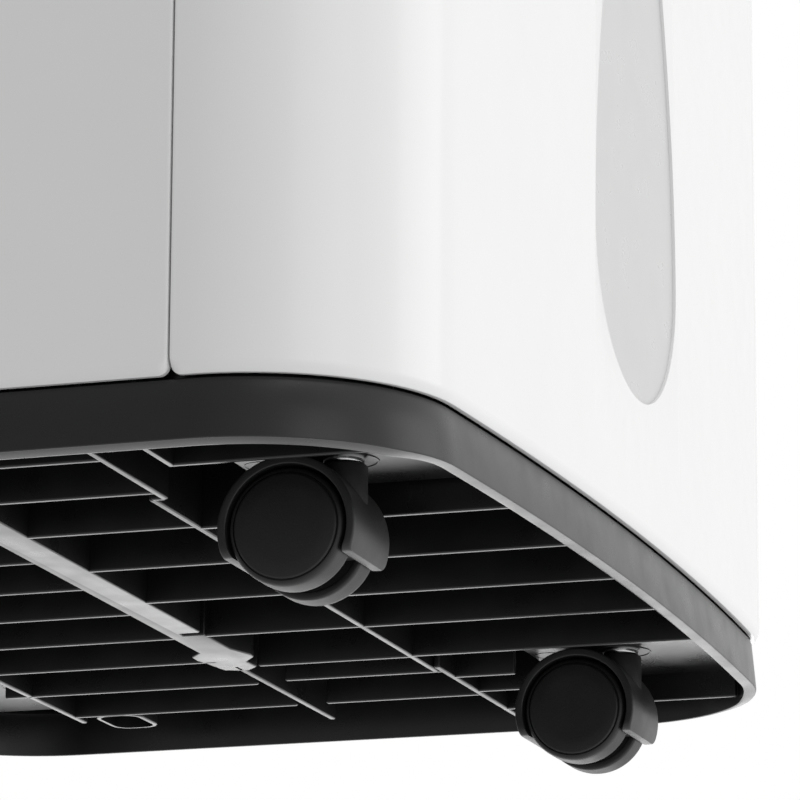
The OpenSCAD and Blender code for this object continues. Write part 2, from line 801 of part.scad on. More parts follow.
// Outline of the fan's scroll, which widens towards the outlet
function scroll_points(t) =
    [for (i = [0 : 48]) let (a = 180 + i * 360 / 48, r = fan_r + 5 + i * 12 / 48 - t) [r * cos(a), r * sin(a)]];

module scroll_solid(t, y0, y1) {
    translate([0, y1, fan_z]) rotate([90, 0, 0]) linear_extrude(y1 - y0) {
        polygon(scroll_points(t));
        translate([-fan_r - 16 + t, 0]) square([fan_r + 60 - 2 * t, cover_z + 4 - fan_z]);
    }
}

module fan_shroud() {
    color([0.55, 0.57, 0.6]) difference() {
        scroll_solid(0, scroll_y[0], scroll_y[1]);
        difference() {
            scroll_solid(scroll_t, scroll_y[0] + scroll_t, scroll_y[1] - scroll_t);
            box([-200, 0, cover_z + 10], [200, 200, 600]);
        }
        box([-fan_r - 16 + scroll_t, scroll_y[0] + scroll_t, cover_z - 10],
            [44 - scroll_t, scroll_y[1] - scroll_t, cover_z + 10]);
        rod_y([0, scroll_y[1] - 5, fan_z], 10, fan_r - 10);
        rod_y([0, scroll_y[0] - 1, fan_z], 5, 20);
    }
}

// Centrifugal wheel with its shaft
module fan_wheel() {
    color([0.2, 0.2, 0.22]) {
        rod_y([0, fan_y[0], fan_z], 2.5, fan_r - 2);
        rod_y([0, fan_y[0], fan_z], 18, 10);
        rod_y([0, -20, fan_z], 55, shaft_r);
        difference() {
            rod_y([0, fan_y[1] - 3, fan_z], 3, fan_r);
            rod_y([0, fan_y[1] - 5, fan_z], 10, fan_r - 12);
        }
        for (a = [0 : 15 : 345]) translate([0, fan_y[0], fan_z]) rotate([0, a, 0])
            rotate([0, 25, 0]) box([fan_r - 13, 0, -21], [fan_r - 11.4, fan_y[1] - fan_y[0], -8]);
    }
}

module fan_motor() {
    color([0.45, 0.46, 0.48]) difference() {
        union() {
            rod_y([0, -30, fan_z], 44, 38);
            rod_y([0, -34, fan_z], 5, 26);
            rod_y([0, 13, fan_z], 6, 19.5);
            for (a = [45 : 90 : 315]) translate([0, 0, fan_z]) rotate([0, a, 0]) rod_y([42, 8, 0], 8, 6);
        }
        rod_y([0, -25, fan_z], 60, shaft_r + running);
    }
}

// ---- Intake --------------------------------------------------------------------------------------

slot_pitch = 9;
peg_r = 3.5;

module intake_grille() {
    g = 0.5;
    color([0.78, 0.78, 0.78]) difference() {
        union() {
            intersection() {
                ring(-casing_out, inner, intake_z[0] + g, intake_z[1] - g);
                box([-intake_x + g, 100, 0], [intake_x - g, 200, 600]);
            }
            for (x = [-100, 100], z = [intake_z[0] + 8, intake_z[1] - 8]) rod_y([x, 124.5, z], 4, peg_r);
        }
        for (x = [-88, -44, 0, 44, 88], z = [intake_z[0] + 12 : slot_pitch : intake_z[1] - 16])
            translate([x, 0, z]) box([-20, 100, 0], [20, 200, 5]);
    }
}

module filter_frame() {
    color([0.35, 0.36, 0.38]) difference() {
        plate_y(intake_x - 6, intake_z[0] + 3, intake_z[1] - 3, 120.5, 124.5, 4);
        for (x = [-1, 1], z = [0, 1]) {
            z0 = intake_z[0] + 10 + z * 74;
            box([x * 54 - 50, 110, z0], [x * 54 + 50, 130, z0 + 70]);
        }
    }
}

module filter_mesh() {
    color([0.25, 0.3, 0.4]) for (x = [-1, 1], z = [0, 1]) {
        z0 = intake_z[0] + 10 + z * 74;
        box([x * 54 - 50, 122, z0], [x * 54 + 50, 123, z0 + 70]);
    }
}

// ---- Electronics and controls --------------------------------------------------------------------

module power_board() {
    y = front_y + 21;
    color([0.1, 0.35, 0.2]) {
        box([-62, y, 350], [62, y + 1.6, 470]);
        box([-50, y + 1.6, 380], [-20, y + 26, 410]);
        box([10, y + 1.6, 370], [34, y + 18, 386]);
        for (z = [400 : 18 : 450]) rod_y([30, y + 1.6, z], 20, 6);
    }
}

button_top = total_h - 0.3;
panel_mid = (panel_y[0] + panel_y[1]) / 2;
button_y = panel_mid - 10;
display_y = panel_mid + 12;

module control_panel() {
    color([0.86, 0.86, 0.87]) difference() {
        union() {
            box([-panel_x + 0.1, panel_y[0] + 0.1, panel_z - panel_t], [panel_x - 0.1, panel_y[1] - 0.1, panel_z]);
            for (x = [-76, 76], y = [panel_mid - 18, panel_mid + 18])
                translate([x, y, board_z + 1.6]) cylinder(r = 3, h = panel_z - panel_t - board_z - 1.6 + eps);
        }
        for (i = [0 : 4]) translate([(i - 2) * button_pitch, button_y, panel_z - 5]) cylinder(r = button_r + 0.3, h = 10);
        translate([0, display_y, panel_z - 5]) linear_extrude(10) rounded(64, 18, 3);
    }
}

board_z = total_h - 11;

module control_board() {
    color([0.1, 0.35, 0.2]) {
        box([-82, panel_mid - 22, board_z], [82, panel_mid + 22, board_z + 1.6]);
        for (i = [0 : 4]) translate([(i - 2) * button_pitch, button_y, board_z + 1.6]) box([-3, -3, 0], [3, 3, 1.8]);
        box([-28, display_y - 7, board_z + 1.6], [28, display_y + 7, board_z + 6.3]);
    }
}

module display_window() {
    color([0.05, 0.05, 0.06]) translate([0, display_y, panel_z - panel_t]) linear_extrude(panel_t) rounded(63.8, 17.8, 2.9);
}

// A button cap with a flange that keeps it under the panel
module button(i) {
    color([0.95, 0.95, 0.95]) translate([(i - 2) * button_pitch, button_y, 0]) {
        translate([0, 0, panel_z - panel_t - 1.8]) cylinder(r = button_r, h = button_top - panel_z + panel_t + 1.8);
        translate([0, 0, panel_z - panel_t - 1.8]) cylinder(r = button_r + 1.5, h = 1.5);
    }
}

// The flap over the outlet, with pins that turn in the well's walls
module outlet_louvre() {
    color([0.88, 0.88, 0.88]) {
        box([-outlet_x + 0.5, outlet_y[0] + 0.6, flap_z - flap_t], [outlet_x - 0.5, hinge_y, flap_z]);
        rod_x([-outlet_x + 0.5, hinge_y, flap_z - flap_t / 2], 2 * outlet_x - 1, flap_t / 2 + 0.9);
        rod_x([-outlet_x - 1.6, hinge_y, flap_z - flap_t / 2], 2 * outlet_x + 3.2, hinge_r);
    }
}

module outlet_grille() {
    z0 = cover_z + 8;
    color([0.3, 0.3, 0.32]) {
        for (y = [outlet_y[0] + 8 : 9 : outlet_y[1] - 6]) box([-outlet_x, y - 0.9, z0], [outlet_x, y + 0.9, z0 + 10]);
        for (x = [-66, -33, 0, 33, 66]) box([x - 1, outlet_y[0], z0], [x + 1, outlet_y[1], z0 + 8]);
    }
}

// ---- Drawing -------------------------------------------------------------------------------------

base_pan();
caster_sockets();
for (c = [0 : 3]) {
    caster_hood(c);
    caster_axle(c);
    wheel(c, -1);
    wheel(c, 1);
}
body_shell();
front_panel();
top_cover();
side_grips();
casing_screws();
tank_front();
level_window();
water_tank();
tank_lid();
tank_handle();
tank_float();
float_switch();
mid_frame();
bay_wall();
drip_tray();
drain_spout();
drain_plug();
cord_gland();
compressor();
compressor_feet();
compressor_bolts();
evaporator_coil();
condenser_coil();
refrigerant_pipes();
capacitor();
fan_shroud();
fan_wheel();
fan_motor();
intake_grille();
filter_frame();
filter_mesh();
power_board();
control_panel();
control_board();
display_window();
for (i = [0 : 4]) button(i);
outlet_louvre();
outlet_grille();
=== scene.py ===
"""Looks of the dehumidifier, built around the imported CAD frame.

Objects are in metres, in the CAD's frame: +Z up, front faces -Y. Shapes are worked out in millimetres.
"""
import json
import math

import bmesh
import bpy
from mathutils import Matrix, Vector


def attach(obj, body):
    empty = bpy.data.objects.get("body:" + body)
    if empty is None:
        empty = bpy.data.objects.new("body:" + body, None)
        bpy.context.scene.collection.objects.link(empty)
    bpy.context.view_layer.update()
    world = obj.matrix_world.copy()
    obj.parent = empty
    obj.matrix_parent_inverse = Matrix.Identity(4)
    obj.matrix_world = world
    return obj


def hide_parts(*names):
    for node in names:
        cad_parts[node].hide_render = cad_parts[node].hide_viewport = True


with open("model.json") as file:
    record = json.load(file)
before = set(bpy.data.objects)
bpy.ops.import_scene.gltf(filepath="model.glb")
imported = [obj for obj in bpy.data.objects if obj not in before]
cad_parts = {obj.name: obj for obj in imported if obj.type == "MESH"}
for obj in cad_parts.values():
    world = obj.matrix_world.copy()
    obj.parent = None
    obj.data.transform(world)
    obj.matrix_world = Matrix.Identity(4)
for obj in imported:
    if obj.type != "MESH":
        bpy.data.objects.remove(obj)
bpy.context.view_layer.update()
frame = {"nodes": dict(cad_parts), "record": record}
NODES = frame["nodes"]
MM = 0.001
CORNERS = {"front_left": (-1, -1), "front_right": (1, -1), "rear_left": (-1, 1), "rear_right": (1, 1)}

# ---- Camera --------------------------------------------------------------------------------------

camera = bpy.data.objects.new("camera", bpy.data.cameras.new("camera"))
bpy.context.collection.objects.link(camera)
camera.data.lens = 230.72
camera.data.sensor_width = 36
camera.data.clip_end = 20
YAW, PITCH, ROLL = math.radians(-71.79), math.radians(14.09), math.radians(-0.29)
turn = Matrix.Rotation(YAW, 4, "Z") @ Matrix.Rotation(PITCH, 4, "X") @ Matrix.Rotation(ROLL, 4, "Y")
look = turn @ Matrix.Rotation(math.radians(90), 4, "X")
camera.matrix_world = Matrix.Translation((-1.1703, -0.4562, -0.2356)) @ look
bpy.context.scene.camera = camera

# ---- Light and stage -----------------------------------------------------------------------------

scene = bpy.context.scene
scene.view_settings.view_transform = "Standard"
scene.view_settings.look = "None"


def build_world():
    """A white studio seen by the camera; its light falls off towards the -X side."""
    world = bpy.data.worlds.new("studio")
    scene.world = world
    world.use_nodes = True
    nodes, links = world.node_tree.nodes, world.node_tree.links
    nodes.clear()
    out = nodes.new("ShaderNodeOutputWorld")
    mix = nodes.new("ShaderNodeMixShader")
    seen = nodes.new("ShaderNodeBackground")
    glow = nodes.new("ShaderNodeBackground")
    path = nodes.new("ShaderNodeLightPath")
    coord = nodes.new("ShaderNodeTexCoord")
    dot = nodes.new("ShaderNodeVectorMath")
    dot.operation = "DOT_PRODUCT"
    dot.inputs[1].default_value = Vector((0.62, -0.70, -0.35)).normalized()
    ramp = nodes.new("ShaderNodeMapRange")
    for limit, value in (("From Min", -0.9), ("From Max", 0.9), ("To Min", 0.38), ("To Max", 1.10)):
        ramp.inputs[limit].default_value = value
    seen.inputs["Strength"].default_value = 1.0
    links.new(coord.outputs["Generated"], dot.inputs[0])
    links.new(dot.outputs["Value"], ramp.inputs["Value"])
    links.new(ramp.outputs["Result"], glow.inputs["Strength"])
    links.new(path.outputs["Is Camera Ray"], mix.inputs["Fac"])
    links.new(glow.outputs["Background"], mix.inputs[1])
    links.new(seen.outputs["Background"], mix.inputs[2])
    links.new(mix.outputs["Shader"], out.inputs["Surface"])
    for background in (seen, glow):
        background.inputs["Color"].default_value = (1, 1, 1, 1)


def softbox(name, place, aim, size, watts):
    """A square area light that faces a point."""
    light = bpy.data.objects.new(name, bpy.data.lights.new(name, "AREA"))
    light.data.size = size
    light.data.energy = watts
    light.location = place
    light.rotation_euler = (Vector(aim) - Vector(place)).to_track_quat("-Z", "Y").to_euler()
    bpy.context.collection.objects.link(light)


build_world()
softbox("key_front", (0.9, -2.4, 0.5), (0, 0, 0.2), 1.5, 6.05)
softbox("fill_left", (-1.5, -1.8, 0.3), (0, 0, 0.15), 1.2, 2.5)
softbox("under_far", (1.9, 0.7, -0.55), (0, 0, 0.02), 1.3, 6.2)
softbox("fill_top", (-0.6, -0.8, 2.4), (0, 0, 0.4), 1.6, 12)

# ---- Materials -----------------------------------------------------------------------------------


def shader(name, base, rough, metal=0.0, coat=0.0):
    """A principled material with constants on its own sockets."""
    material = bpy.data.materials.new(name)
    material.use_nodes = True
    surface = material.node_tree.nodes["Principled BSDF"]
    surface.inputs["Base Color"].default_value = (*base, 1)
    surface.inputs["Roughness"].default_value = rough
    surface.inputs["Metallic"].default_value = metal
    surface.inputs["Coat Weight"].default_value = coat
    return material, surface


def noise(material, scale, detail=3.0, stretch=(1, 1, 1)):
    """Object-space noise, with scale in features per metre."""
    nodes, links = material.node_tree.nodes, material.node_tree.links
    coord = nodes.new("ShaderNodeTexCoord")
    place = nodes.new("ShaderNodeMapping")
    place.inputs["Scale"].default_value = stretch
    grain = nodes.new("ShaderNodeTexNoise")
    grain.inputs["Scale"].default_value = scale
    grain.inputs["Detail"].default_value = detail
    links.new(coord.outputs["Object"], place.inputs["Vector"])
    links.new(place.outputs["Vector"], grain.inputs["Vector"])
    return grain.outputs["Fac"]


def vary(material, value, socket, low, high):
    """Lets a noise value move a number between two limits."""
    nodes, links = material.node_tree.nodes, material.node_tree.links
    span = nodes.new("ShaderNodeMapRange")
    span.inputs["From Min"].default_value = 0.3
    span.inputs["From Max"].default_value = 0.7
    span.inputs["To Min"].default_value = low
    span.inputs["To Max"].default_value = high
    links.new(value, span.inputs["Value"])
    links.new(span.outputs["Result"], socket)


def tint(material, value, socket, dark, light):
    """Lets a noise value move a colour between two limits."""
    nodes, links = material.node_tree.nodes, material.node_tree.links
    ramp = nodes.new("ShaderNodeValToRGB")
    ramp.color_ramp.elements[0].position = 0.3
    ramp.color_ramp.elements[0].color = (*dark, 1)
    ramp.color_ramp.elements[1].position = 0.7
    ramp.color_ramp.elements[1].color = (*light, 1)
    links.new(value, ramp.inputs["Fac"])
    links.new(ramp.outputs["Color"], socket)


def bump(material, surface, value, height):
    """Fine relief, with height in metres."""
    nodes, links = material.node_tree.nodes, material.node_tree.links
    relief = nodes.new("ShaderNodeBump")
    relief.inputs["Distance"].default_value = height
    links.new(value, relief.inputs["Height"])
    links.new(relief.outputs["Normal"], surface.inputs["Normal"])


def plastic(name, base, rough, grain=2500, depth=0.00002, spread=0.05, coat=0.0):
    """Moulded plastic: faint mottling, uneven gloss and a fine grain."""
    material, surface = shader(name, base, rough, coat=coat)
    cloud = noise(material, 35)
    tint(material, cloud, surface.inputs["Base Color"], [c * (1 - spread) for c in base], base)
    vary(material, noise(material, 90, 5), surface.inputs["Roughness"], rough * 0.85, min(1, rough * 1.15))
    bump(material, surface, noise(material, grain, 2), depth)
    return material


def metal(name, base, rough, stretch=(1, 1, 1)):
    """Plated or bare metal with fine streaks."""
    material, surface = shader(name, base, rough, metal=1.0)
    streak = noise(material, 900, 4, stretch)
    tint(material, streak, surface.inputs["Base Color"], [c * 0.85 for c in base], base)
    vary(material, streak, surface.inputs["Roughness"], rough * 0.7, rough * 1.3)
    bump(material, surface, streak, 0.00001)
    return material


def glassy(name, base, rough, alpha):
    """Thin translucent plastic."""
    material, surface = shader(name, base, rough)
    surface.inputs["Alpha"].default_value = alpha
    tint(material, noise(material, 25), surface.inputs["Base Color"], [c * 0.93 for c in base], base)
    bump(material, surface, noise(material, 1200, 2), 0.00001)
    return material


WHITE = plastic("casing_white", (0.81, 0.81, 0.81), 0.22, grain=900, depth=0.000004, spread=0.012, coat=0.2)
GREY = plastic("casing_grey", (0.60, 0.60, 0.61), 0.35, grain=1800, depth=0.00001, spread=0.03)
WINDOW = plastic("window_grey", (0.565, 0.565, 0.565), 0.3, grain=1500, depth=0.000004, spread=0.015)
BASE = plastic("base_black", (0.006, 0.006, 0.0063), 0.30, grain=2600, depth=0.000012, spread=0.15)
CASTER = plastic("caster_black", (0.021, 0.021, 0.021), 0.42, grain=2400, depth=0.00002, spread=0.2)
WHEEL = plastic("wheel_black", (0.008, 0.008, 0.008), 0.5, grain=2200, depth=0.00003, spread=0.2)
STEEL = metal("bright_steel", (0.78, 0.78, 0.79), 0.2)
FRAME = plastic("frame_dark", (0.07, 0.07, 0.075), 0.5, spread=0.15)
TANK = glassy("tank_clear", (0.55, 0.62, 0.66), 0.25, 0.55)
FOAM = plastic("foam_white", (0.78, 0.78, 0.76), 0.75, grain=700, depth=0.00012, spread=0.06)
MESH = plastic("mesh_blue", (0.05, 0.07, 0.12), 0.7, grain=3500, depth=0.00008, spread=0.2)
COIL = metal("coil_blue", (0.45, 0.56, 0.68), 0.4, (1, 1, 0.05))
COPPER = metal("copper", (0.78, 0.40, 0.24), 0.3)
ENAMEL = plastic(
    "compressor_black", (0.02, 0.02, 0.022), 0.3, grain=400, depth=0.00006, spread=0.2, coat=0.4
)
RUBBER = plastic("soft_black", (0.02, 0.02, 0.02), 0.8, grain=1600, depth=0.00004, spread=0.2)
MOTOR = plastic("wheel_grey", (0.12, 0.12, 0.13), 0.5, spread=0.1)
BOARD = plastic("board_green", (0.02, 0.15, 0.06), 0.45, grain=500, depth=0.00005, spread=0.35)
SMOKED = plastic("display_black", (0.008, 0.008, 0.01), 0.08, grain=900, depth=0.000003, coat=1.0)
BUTTON = plastic("button_white", (0.76, 0.76, 0.77), 0.35, grain=1800, depth=0.00001, spread=0.02)

SLOT_LOOKS = {
    "base_black": BASE,
    "bright_steel": STEEL,
    "caster_black": CASTER,
    "wheel_black": WHEEL,
    "casing_white": WHITE,
    "casing_grey": GREY,
    "window_grey": WINDOW,
    "tank_clear": TANK,
    "foam_white": FOAM,
    "frame_dark": FRAME,
    "mesh_blue": MESH,
    "coil_blue": COIL,
    "copper": COPPER,
    "compressor_black": ENAMEL,
    "soft_black": RUBBER,
    "wheel_grey": MOTOR,
    "board_green": BOARD,
    "display_black": SMOKED,
    "button_white": BUTTON,
}
SLOT_OF = {part["node"]: part["material_slot"] for part in frame["record"]["subparts"]}
for node_name, node_object in NODES.items():
    look_of_node = SLOT_LOOKS[SLOT_OF[node_name]]
    node_object.data.materials.clear()
    node_object.data.materials.append(look_of_node)
    edges = node_object.modifiers.new("edges", "BEVEL")
    edges.width = 0.25 * MM
    edges.segments = 2
    edges.limit_method = "ANGLE"
    edges.angle_limit = math.radians(40)

# ---- Floor ---------------------------------------------------------------------------------------


def build_floor():
    """A pale floor under the wheels, seen from above only, so that low views look through it."""
    bpy.ops.mesh.primitive_plane_add(size=8, location=(0, 0, -0.2 * MM))
    floor = bpy.context.object
    floor.name = "floor"
    material, surface = shader("floor_pale", (0.86, 0.86, 0.86), 0.6)
    nodes, links = material.node_tree.nodes, material.node_tree.links
    clear = nodes.new("ShaderNodeBsdfTransparent")
    side = nodes.new("ShaderNodeNewGeometry")
    mix = nodes.new("ShaderNodeMixShader")
    links.new(side.outputs["Backfacing"], mix.inputs["Fac"])
    links.new(surface.outputs["BSDF"], mix.inputs[1])
    links.new(clear.outputs["BSDF"], mix.inputs[2])
    links.new(mix.outputs["Shader"], nodes["Material Output"].inputs["Surface"])
    tint(material, noise(material, 3), surface.inputs["Base Color"], (0.85, 0.85, 0.85), (0.87, 0.87, 0.87))
    floor.data.materials.append(material)
    floor.visible_diffuse = False
    floor.visible_glossy = False
    floor.visible_transmission = False
    floor.visible_shadow = False


build_floor()

# ---- Shared shapes -------------------------------------------------------------------------------

# The footprint's driving sizes, the same as the CAD's, in millimetres
BASE_W, BASE_D, CORNER_R, BOW_R = 350.0, 263.2, 47.0, 1992.0
CORNER_X = BASE_W / 2 - CORNER_R
BOW_Y = BOW_R - BASE_D / 2
CORNER_Y = math.sqrt((BOW_R - CORNER_R) ** 2 - CORNER_X**2) - BOW_Y
BOW_A = math.atan2(CORNER_Y + BOW_Y, CORNER_X)
CORNER_STEPS, BOW_STEPS = 28, 40
CASING, WALL = 1.0, 2.6
RIM_Z, BAND_Z = 23.0, 36.4
CASING_Z, SPLIT_Z, COVER_Z, TOP_Z = BAND_Z + 0.4, 330.0, 500.0, 545.0
SEAM_Y, SEAM_GAP = -76.7, 0.5
# At the seams: roundings of a wall's foot and outer face, and the height over which the foot's fades
FOOT_R, FACE_R, FOOT_FADE = 2.4, 0.3, 8
FLOOR_Z, PAD_Z, STEP_Z = RIM_Z + 20, RIM_Z + 7.5, RIM_Z + 10.7


def arc(x, y, r, a0, a1, steps):
    """(point, outward normal) pairs along an arc, its far end left out."""
    turns = [a0 + (a1 - a0) * i / steps for i in range(steps)]
    return [((x + r * math.cos(a), y + r * math.sin(a)), (math.cos(a), math.sin(a))) for a in turns]


def half_outline(sign):
    """From the +X side round the rear (sign 1) or from the -X side round the front (sign -1)."""
    base = 0.0 if sign > 0 else math.pi
    x, y = sign * CORNER_X, sign * CORNER_Y
    return (
        arc(x, y, CORNER_R, base, base + BOW_A, CORNER_STEPS)
        + arc(0, -sign * BOW_Y, BOW_R, base + BOW_A, base + math.pi - BOW_A, BOW_STEPS)
        + arc(-x, y, CORNER_R, base + math.pi - BOW_A, base + math.pi, CORNER_STEPS)
        + [((-x - sign * CORNER_R, y), (-sign, 0.0))]
    )


def end_steps(edge, towards, radius):
    """Depths that close in on an edge, so that its rounding has enough sections."""
    shares = (0, 0.04, 0.15, 0.32, 0.55, 0.8, 1.0, 1.6)
    return [edge + math.copysign(radius * share, towards - edge) for share in shares]


def front_path():
    """The front pieces' path, from the left seam round the front to the right one."""
    edge = SEAM_Y - SEAM_GAP / 2
    ys = end_steps(edge, edge - 10, FOOT_R)[:-1]
    left = [((-BASE_W / 2, y), (-1.0, 0.0)) for y in ys]
    right = [((BASE_W / 2, y), (1.0, 0.0)) for y in reversed(ys)]
    return left + half_outline(-1) + right


def shell_path():
    """The body shell's path, from the right seam round the rear to the left one."""
    edge = SEAM_Y + SEAM_GAP / 2
    ys = end_steps(edge, edge + 10, FOOT_R)
    run = [ys[-1] + (CORNER_Y - ys[-1]) * i / 12 for i in range(1, 12)]
    right = [((BASE_W / 2, y), (1.0, 0.0)) for y in ys + run]
    left = [((-BASE_W / 2, y), (-1.0, 0.0)) for y in reversed(ys + run)]
    return right + half_outline(1) + left


def whole_path():
    """The closed outline."""
    return half_outline(1) + half_outline(-1)


def outline_at(inset, z):
    """The footprint moved in by inset, at a height."""
    return [(x - nx * inset, y - ny * inset, z) for (x, y), (nx, ny) in whole_path()]


def add_object(name, mesh, material):
    """Links a mesh as an object with one material."""
    piece = bpy.data.objects.new(name, mesh)
    bpy.context.collection.objects.link(piece)
    mesh.materials.append(material)
    return piece


def smooth(mesh, angle=32):
    """Smooth shading, with edges sharper than the angle kept."""
    for face in mesh.polygons:
        face.use_smooth = True
    mesh.set_sharp_from_angle(angle=math.radians(angle))


def make(name, verts, faces, material, angle=32):
    """A mesh piece from millimetre points."""
    mesh = bpy.data.meshes.new(name)
    mesh.from_pydata([[c * MM for c in v] for v in verts], [], faces)
    mesh.validate()
    flow = bmesh.new()
    flow.from_mesh(mesh)
    bmesh.ops.recalc_face_normals(flow, faces=flow.faces)
    flow.to_mesh(mesh)
    flow.free()
    smooth(mesh, angle)
    return add_object(name, mesh, material)


def pinch(section, path, radius):
    """How far a rounding of that radius has moved at this section, from the nearer end."""
    ends = min(math.dist(path[section][0], path[e][0]) for e in (0, -1))
    if ends >= radius:
        return 0.0
    return radius - math.sqrt(radius**2 - (radius - ends) ** 2)


def sweep(name, path, profile, material, foot=FOOT_R):
    """A closed profile of (inset, z) points carried along an open path, with its ends rounded off."""
    middle = (min(inset for inset, z in profile) + max(inset for inset, z in profile)) / 2
    low = min(z for inset, z in profile)
    loops = []
    for i, ((x, y), (nx, ny)) in enumerate(path):
        draw, lift = pinch(i, path, FACE_R), pinch(i, path, foot)
        loop = []
        for inset, z in profile:
            depth = inset + (draw if inset < middle else 0)
            rise = lift * max(0.0, 1 - (z - low) / FOOT_FADE)
            loop.append((x - nx * depth, y - ny * depth, z + rise))
        loops.append(loop)
    return stack(name, loops, material)


def quarter(x, z, r, a0, a1, steps=5):
    """Points of a rounding in a profile, angles in degrees."""
    turns = [math.radians(a0 + (a1 - a0) * i / steps) for i in range(steps + 1)]
    return [(x + r * math.cos(a), z + r * math.sin(a)) for a in turns]


def settle(piece):
    """Applies a piece's modifiers, so that its mesh is final."""
    ready = piece.evaluated_get(bpy.context.evaluated_depsgraph_get())
    mesh = bpy.data.meshes.new_from_object(ready)
    piece.modifiers.clear()
    piece.data = mesh
    smooth(mesh)
    return piece


def soften(piece, width, angle=50):
    """Rounds a piece's sharp edges."""
    rim = piece.modifiers.new("rim", "BEVEL")
    rim.width = width * MM
    rim.segments = 3
    rim.limit_method = "ANGLE"
    rim.angle_limit = math.radians(angle)
    return settle(piece)


def cut(piece, *cutters):
    """Takes cutters out of a piece and removes them."""
    for cutter in cutters:
        taken = piece.modifiers.new("cut", "BOOLEAN")
        taken.operation = "DIFFERENCE"
        taken.solver = "EXACT"
        taken.object = cutter
    settle(piece)
    for cutter in cutters:
        bpy.data.objects.remove(cutter)
    return piece


def stack(name, layers, material, angle=32):
    """Solid from a stack of closed loops of points, capped at both ends."""
    n = len(layers[0])
    verts = [p for loop in layers for p in loop]
    faces = [tuple(range(n)), tuple((len(layers) - 1) * n + i for i in reversed(range(n)))]
    for s in range(len(layers) - 1):
        for i in range(n):
            k = (i + 1) % n
            faces.append((s * n + i, s * n + k, (s + 1) * n + k, (s + 1) * n + i))
    return make(name, verts, faces, material, angle)


def round_rect(w, d, r, steps=6, x0=0.0, y0=0.0):
    """Points of a rectangle with round corners."""
    points = []
    for k, (sx, sy) in enumerate(((1, 1), (-1, 1), (-1, -1), (1, -1))):
        for i in range(steps + 1):
            a = math.radians(90 * k + 90 * i / steps)
            x, y = x0 + sx * (w / 2 - r), y0 + sy * (d / 2 - r)
            points.append((x + r * math.cos(a), y + r * math.sin(a)))
    return points


def block(name, low, high, r, material, edge=0.4):
    """A box with round upright corners and softened top and bottom edges."""
    w, d = high[0] - low[0], high[1] - low[1]
    x0, y0 = (low[0] + high[0]) / 2, (low[1] + high[1]) / 2
    r = min(r, w / 2 - 0.01, d / 2 - 0.01)
    layers = quarter(edge, low[2] + edge, edge, 270, 180, 4) + quarter(edge, high[2] - edge, edge, 180, 90, 4)
    loops = []
    for inset, z in layers:
        corners = round_rect(w - 2 * inset, d - 2 * inset, max(r - inset, 0.05), 6, x0, y0)
        loops.append([(x, y, z) for x, y in corners])
    return stack(name, loops, material)


def revolve(name, profile, material, steps=64, axis="Z", angle=32):
    """Turns an open (radius, height) profile about an axis; ends on the axis are closed."""
    verts, faces, rings = [], [], []
    turns = [2 * math.pi * i / steps for i in range(steps)]
    for r, h in profile:
        if r < 1e-6:
            rings.append([len(verts)])
            verts.append((0.0, 0.0, h))
        else:
            rings.append([len(verts) + i for i in range(steps)])
            verts += [(r * math.cos(t), r * math.sin(t), h) for t in turns]
    for low_ring, high_ring in zip(rings, rings[1:]):
        for i in range(steps):
            k = (i + 1) % steps
            if len(low_ring) == 1 and len(high_ring) > 1:
                faces.append((low_ring[0], high_ring[k], high_ring[i]))
            elif len(high_ring) == 1 and len(low_ring) > 1:
                faces.append((low_ring[i], low_ring[k], high_ring[0]))
            elif len(low_ring) > 1:
                faces.append((low_ring[i], low_ring[k], high_ring[k], high_ring[i]))
    if axis == "X":
        verts = [(z, x, y) for x, y, z in verts]
    elif axis == "Y":
        verts = [(x, z, -y) for x, y, z in verts]
    return make(name, verts, faces, material, angle)


def shift(piece, x, y, z):
    """Moves a piece's own vertices, in millimetres."""
    piece.data.transform(Matrix.Translation((x * MM, y * MM, z * MM)))
    return piece


def join(name, pieces):
    """Several pieces as one."""
    flow = bmesh.new()
    for piece in pieces:
        flow.from_mesh(piece.data)
    material = pieces[0].data.materials[0]
    mesh = bpy.data.meshes.new(name)
    flow.to_mesh(mesh)
    flow.free()
    for piece in pieces:
        bpy.data.objects.remove(piece)
    return add_object(name, mesh, material)


def place(piece, body, slot, *nodes):
    """Rides a piece on its body and hides the CAD nodes that it stands for; its slot is not used."""
    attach(piece, body)
    if nodes:
        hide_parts(*nodes)
    return piece


# ---- Casing --------------------------------------------------------------------------------------


# Openings in the casing and the cover, where the CAD has them
GRIP_Y, GRIP_Z, GRIP_DEPTH = (-14, 76), (440, 472), 12
INTAKE_X, INTAKE_Z = 118, (322, 486)
DRAIN_R, DRAIN_X, DRAIN_Z = 15, 70, 285
GLAND_R, GLAND_X, GLAND_Z = 7, -112, 66
SCREW_R, SCREW_X, SCREW_HEIGHTS = 2.2, 150, (420, 200, 70)
OUTLET_X, OUTLET_Y, OUTLET_Z = 100, (6, 76), 506
RECESS_X, RECESS_Y, RECESS_Z = 92, (-98, -44), 540.5
# How deep the level window sits in the tank's front
WINDOW_DEPTH = 0.8


def wall_profile(z0, z1, lip=3.0, draw=1.3, top=0.7):
    """A casing wall's section: its foot draws in to a crisp lower edge, and its head is rounded."""
    out, inn = -CASING, WALL - CASING
    foot = [(out + draw * t * t, z0 + lip * (1 - t)) for t in (i / 8 for i in range(9))]
    head = quarter(out + top, z1 - top, top, 90, 180, 4)
    return foot + [(inn, z0), (inn, z1)] + head + [(out, z1 - 12), (out, z0 + 12)]


